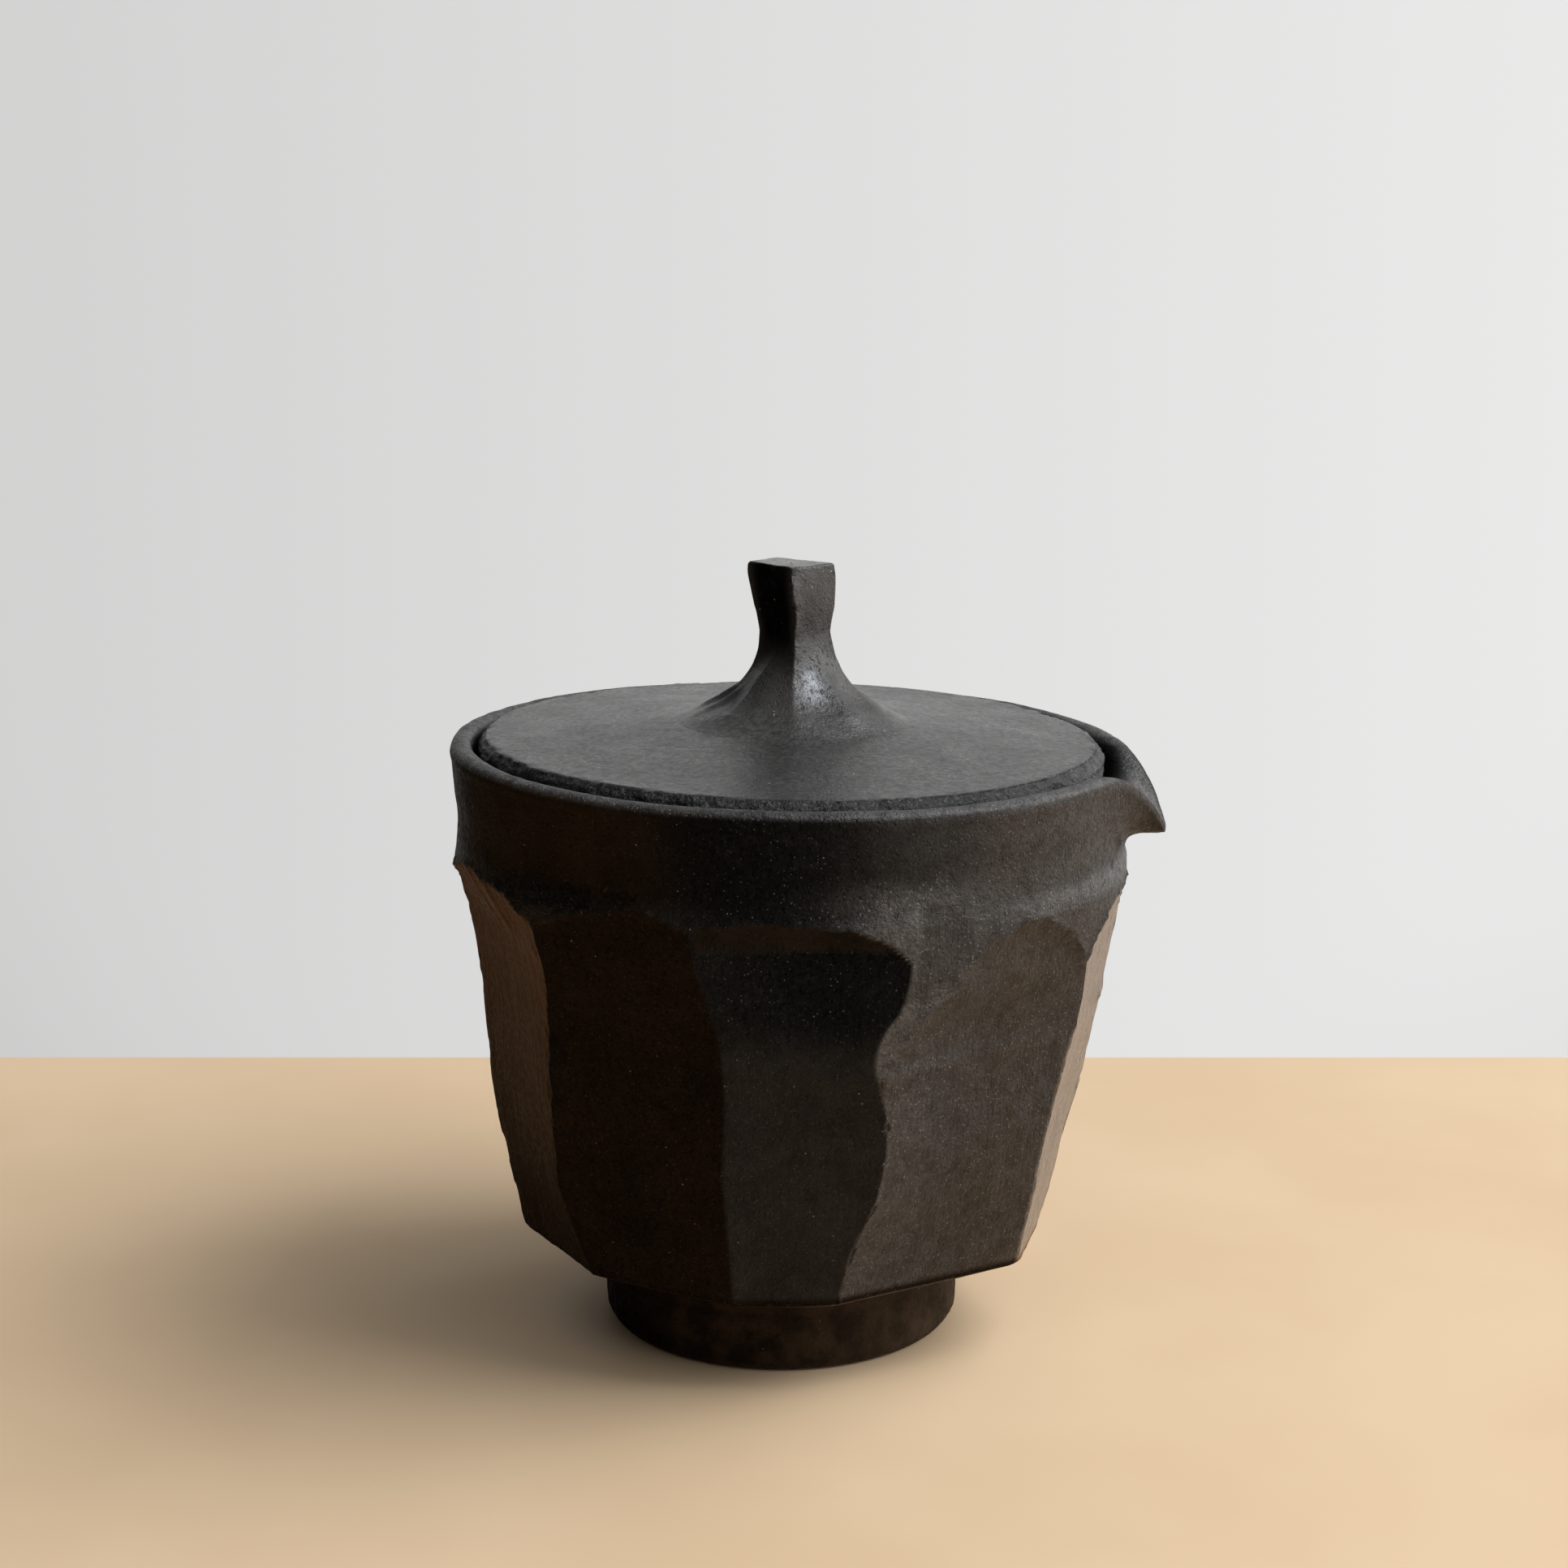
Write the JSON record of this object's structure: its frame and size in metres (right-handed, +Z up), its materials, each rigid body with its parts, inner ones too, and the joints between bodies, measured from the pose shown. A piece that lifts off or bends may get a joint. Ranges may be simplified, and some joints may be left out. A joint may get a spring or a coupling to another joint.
{
  "type": "lidded sugar bowl",
  "caption": "Faceted dark stoneware bowl on a round foot, with a pulled pouring lip and a recessed lift-off lid with a pinched four-sided knob.",
  "frame": {"origin": "on the surface the bowl stands on, under the middle of the whole bowl's bounding box; the bowl's own turning axis stands 2.3 mm back from it at -X, because the pouring lip reaches out at +X", "axes": "+Z up through the knob, +X toward the pouring lip (which points 9 degrees to the -Y side of +X), -Y toward the side seen in the picture"},
  "size_m": [0.0955, 0.0914, 0.1048],
  "materials": {
    "wall_stoneware": "satin",
    "foot_stoneware": "matte",
    "lid_stoneware": "satin"
  },
  "bodies": {
    "bowl": {"bowl_body": "wall_stoneware", "foot_ring": "foot_stoneware", "lid_seat": "wall_stoneware"},
    "lid": {"lid_disc": "lid_stoneware", "lid_knob": "lid_stoneware"}
  },
  "joints": [
    {"name": "lid_lift", "type": "slide", "parent": "bowl", "child": "lid", "axis": [0, 0, 1], "range_m": [0, 0.09]}
  ]
}
